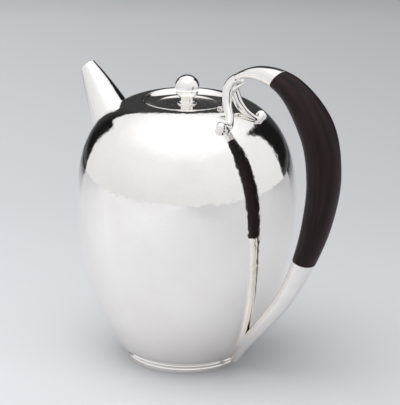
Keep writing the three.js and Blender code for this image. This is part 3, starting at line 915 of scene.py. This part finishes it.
def wire(name, knots, radii, steps, around=40, swell=0.0):
    """A wire that runs from one radius to another and swells between them, its far end rounded."""
    places = []
    across = Vector((1, 0, 0))
    count = len(knots) - 1
    for i in range(steps + 1):
        t = count * i / steps
        middle = along(knots, t)
        forward = (along(knots, min(t + 0.01, count)) - along(knots, max(t - 0.01, 0))).normalized()
        radius = radii[0] + (radii[1] - radii[0]) * i / steps
        radius += swell * max(0.0, math.sin(math.pi * (i / steps / SWELL_END)))
        u = (across - forward * across.dot(forward)).normalized()
        w = forward.cross(u)
        places.append((middle, u, w, radius))
    for share in (0.3, 0.55, 0.75, 0.9, 0.98):
        places.append((middle + forward * radius * share, u, w, radius * math.sqrt(1 - share**2)))
    rings = []
    for middle, u, w, radius in places:
        angles = [2 * math.pi * k / around for k in range(around)]
        rings.append([middle + (u * math.cos(a) + w * math.sin(a)) * radius for a in angles])
    return swept(name, rings)


for word, hand in (("near", -1), ("far", 1)):
    leg = wire(
        word + "_scroll_leg",
        [
            (41.5, hand * 1.5, 191.0),
            (37.6, hand * 2.0, 187.6),
            (35.6, hand * 2.5, 183.6),
            (35.9, hand * 3.6, 179.8),
            (37.4, hand * 5.3, 174.0),
            (41.8, hand * 8, 167.5),
            (46, hand * 13.6, 163.2),
            (45.3, hand * 18.6, 164.9),
        ],
        LEG_RADII,
        110,
        swell=LEG_SWELL,
    )
    cut(leg, pot_core(SOLDERED_IN))
    fitted(leg, "pot", "silver", handle_silver, word + "_scroll_leg")
    mesh = bmesh.new()
    bmesh.ops.create_uvsphere(
        mesh,
        u_segments=64,
        v_segments=40,
        radius=BEAD_RADIUS * MM,
        matrix=Matrix.Translation(placed((44.5, hand * 19.1, 163.9))),
    )
    bead = made(word + "_scroll_ball", mesh)
    cut(bead, pot_core(SOLDERED_IN))
    fitted(bead, "pot", "silver", handle_silver, word + "_scroll_ball")

# A short pointed spur stands under the arch, above the parting of the legs.
spur_points = [Vector((37.6, 0, 182.6)), Vector((41.4, 0, 185.9)), Vector((47.4, 0, 189.2))]
spur_rings = []
for i in range(25):
    t = i / 24
    middle, forward = bent(*spur_points, t)
    half = Vector((max(1.9 - 1.75 * t**1.4, 0.05), max(2.2 - 2.0 * t**1.4, 0.05)))
    spur_rings.append(oval(middle, forward, half, around=32))
arch_spur = swept("arch_spur", spur_rings)
fitted(arch_spur, "pot", "silver", handle_silver, "arch_spur")

# ---------- Studio ----------
# A pale paper floor, its colour darkened by painted light falloff, a white tent overhead and round the front,
# and an unlit room behind, also painted as near-black shade on the floor: plain soft light with a dark edge
# for the polished silver. One broad soft lamp hangs high on the left.
mesh = bmesh.new()
bmesh.ops.create_circle(mesh, cap_ends=True, segments=96, radius=2.2)
floor_data = bpy.data.meshes.new("floor")
mesh.to_mesh(floor_data)
mesh.free()
floor = bpy.data.objects.new("floor", floor_data)
floor.location = (axis_x + to_camera.x, to_camera.y, 0)
bpy.context.scene.collection.objects.link(floor)
paper = bpy.data.materials.new("paper")
paper.use_nodes = True
tree = paper.node_tree
shader = tree.nodes["Principled BSDF"]
shader.inputs["Roughness"].default_value = 0.9
shader.inputs["Specular IOR Level"].default_value = 0.0
on_floor = tree.nodes.new("ShaderNodeTexCoord").outputs["Object"]


def measured(place, direction):
    """How far a place on the floor, or in the sky, lies along a direction."""
    dot = tree.nodes.new("ShaderNodeVectorMath")
    dot.operation = "DOT_PRODUCT"
    link(tree, place, dot.inputs[0])
    dot.inputs[1].default_value = direction
    return dot.outputs["Value"]


def worked_out(operation, first, second=None):
    """One step of arithmetic in the material or the sky that is being made."""
    step = tree.nodes.new("ShaderNodeMath")
    step.operation = operation
    for place, value in enumerate((first, second)):
        if isinstance(value, (int, float)):
            step.inputs[place].default_value = value
        elif value is not None:
            link(tree, value, step.inputs[place])
    return step.outputs["Value"]


def ramp(value, low, high, to_low=0.0, to_high=1.0, smooth=True):
    """Runs from to_low to to_high as value goes from low to high, and stays level outside them."""
    step = tree.nodes.new("ShaderNodeMapRange")
    step.interpolation_type = "SMOOTHSTEP" if smooth else "LINEAR"
    step.inputs["From Min"].default_value = low
    step.inputs["From Max"].default_value = high
    step.inputs["To Min"].default_value = to_low
    step.inputs["To Max"].default_value = to_high
    link(tree, value, step.inputs["Value"])
    return step.outputs["Result"]


# Painted light falloff: the paper's colour is darkened toward the back and toward the right, standing in for
# less light reaching it there.
PAPER_RUN = 2.2
PAPER_WHITE = Vector((0.985, 0.99, 1.02))
painted_falloff = tree.nodes.new("ShaderNodeValToRGB")
link(tree, ramp(measured(on_floor, -to_camera), 0.0, PAPER_RUN, smooth=False), painted_falloff.inputs["Fac"])
painted_falloff_tones = (
    (0.0, 0.57),
    (0.27, 0.59),
    (0.386, 0.575),
    (0.434, 0.585),
    (0.6, 0.47),
    (0.895, 0.37),
    (1.0, 0.26),
)
painted_falloff.color_ramp.elements.remove(painted_falloff.color_ramp.elements[1])
for spot, tone in painted_falloff_tones:
    stop = painted_falloff.color_ramp.elements.new(spot) if spot else painted_falloff.color_ramp.elements[0]
    stop.color = (*(PAPER_WHITE * tone), 1)
# Painted shade: the paper's colour is multiplied down toward the right and up toward the left.
paper_with_painted_falloff = tree.nodes.new("ShaderNodeMix")
paper_with_painted_falloff.data_type = "RGBA"
paper_with_painted_falloff.blend_type = "MULTIPLY"
paper_with_painted_falloff.inputs["Factor"].default_value = 1.0
link(tree, painted_falloff.outputs["Color"], paper_with_painted_falloff.inputs["A"])
link(tree, ramp(measured(on_floor, to_right), -0.3, 0.3, 1.14, 0.86, False), paper_with_painted_falloff.inputs["B"])

# Behind the pot the paper is a strip: past its two sides the floor's colour is painted near-black, painted
# shade that stands in for the unlit room.
aside = worked_out("ABSOLUTE", measured(on_floor, to_right))
behind_pot = worked_out("SUBTRACT", measured(on_floor, -to_camera), 1.0)
past_side = ramp(aside, 0.24, 0.36)
rear = ramp(worked_out("SUBTRACT", behind_pot, worked_out("MULTIPLY", aside, 0.87)), -0.02, 0.03)
squares = worked_out("ADD", worked_out("POWER", aside, 2.0), worked_out("POWER", behind_pot, 2.0))
from_pot = worked_out("POWER", squares, 0.5)
room_shade_share = worked_out("MULTIPLY", worked_out("MULTIPLY", past_side, rear), ramp(from_pot, 0.3, 1.3))
# Painted shade: near-black mixed into the floor's colour where the unlit room lies.
painted_room_shade = tree.nodes.new("ShaderNodeMix")
painted_room_shade.data_type = "RGBA"
painted_room_shade.inputs["B"].default_value = (0.012, 0.012, 0.013, 1)
link(tree, room_shade_share, painted_room_shade.inputs["Factor"])
link(tree, paper_with_painted_falloff.outputs["Result"], painted_room_shade.inputs["A"])
link(tree, painted_room_shade.outputs["Result"], shader.inputs["Base Color"])
floor_data.materials.append(paper)

world = bpy.data.worlds.new("studio")
bpy.context.scene.world = world
world.use_nodes = True
tree = world.node_tree
tree.nodes.clear()
looking = tree.nodes.new("ShaderNodeTexCoord").outputs["Generated"]

# Every direction of the sky has a height and a turn from the camera, both in degrees.
height = worked_out("MULTIPLY", worked_out("ARCSINE", measured(looking, (0, 0, 1))), 180 / math.pi)
turned_round = worked_out("ARCTAN2", measured(looking, to_right), measured(looking, to_camera))
round_from_camera = worked_out("MULTIPLY", turned_round, 180 / math.pi)
tent = worked_out("ADD", ramp(height, -2.0, 50.0, 0.825, 0.98, False), ramp(height, 36.0, 72.0, 0.0, 0.3))

# The white roof's edge behind the pot, as heights in degrees against the turn from the camera.
roof_edge = tree.nodes.new("ShaderNodeFloatCurve")
edge_line = roof_edge.mapping.curves[0]
edge_points = (
    (-180, 42),
    (-162, 42),
    (-156, 38),
    (-150, 29),
    (-146, 22.5),
    (-138, 27),
    (-128, 28),
    (110, 44),
    (118, 41),
    (126, 38),
    (140, 31),
    (150, 32),
    (164, 40),
    (180, 42),
)
edge_places = [((turn_degrees + 180) / 360, up_degrees / 90) for turn_degrees, up_degrees in edge_points]
edge_line.points[0].location = edge_places[0]
edge_line.points[1].location = edge_places[-1]
for edge_place in edge_places[1:-1]:
    edge_line.points.new(*edge_place)
for point in edge_line.points:
    point.handle_type = "VECTOR"
roof_edge.mapping.update()
link(tree, ramp(round_from_camera, -180.0, 180.0, 0.0, 1.0, False), roof_edge.inputs["Value"])
edge_height = worked_out("MULTIPLY", roof_edge.outputs["Value"], 90.0)
under_roof = ramp(worked_out("SUBTRACT", height, edge_height), -1.2, 1.2, 1.0, 0.0)
left_edge = ramp(round_from_camera, -134.5, -131.0, 1.0, 0.0)
leaning = worked_out("MULTIPLY", worked_out("MAXIMUM", worked_out("SUBTRACT", height, 30.0), 0.0), 0.7)
right_edge = ramp(worked_out("ADD", round_from_camera, leaning), 119.5, 123.0, 0.0, 1.0)
room = worked_out("MULTIPLY", worked_out("MAXIMUM", left_edge, right_edge), under_roof)
far_round = worked_out("ABSOLUTE", round_from_camera)
room_glow = worked_out("ADD", ramp(far_round, 146.0, 162.0, 0.010, 0.05), ramp(height, -12.0, 0.0, 0.25, 0.0))
strength = worked_out(
    "ADD",
    worked_out("MULTIPLY", tent, worked_out("SUBTRACT", 1.0, room)),
    worked_out("MULTIPLY", room_glow, room),
)
sky = tree.nodes.new("ShaderNodeBackground")
sky.inputs["Color"].default_value = (0.955, 0.972, 1.0, 1)
link(tree, strength, sky.inputs["Strength"])
shown = tree.nodes.new("ShaderNodeOutputWorld")
link(tree, sky.outputs["Background"], shown.inputs["Surface"])

# The lamp lights the paper and the wood, and is kept out of what the silver mirrors.
lamp = bpy.data.lights.new("high_left_light", "SUN")
lamp.energy = 1.45
lamp.angle = math.radians(55)
high_left = bpy.data.objects.new("high_left_light", lamp)
shining = to_right * 0.34 - to_camera * 0.1 - Vector((0, 0, 1))
high_left.rotation_euler = shining.to_track_quat("-Z", "Y").to_euler()
high_left.visible_glossy = False
bpy.context.scene.collection.objects.link(high_left)
bpy.context.scene.view_settings.view_transform = "Standard"
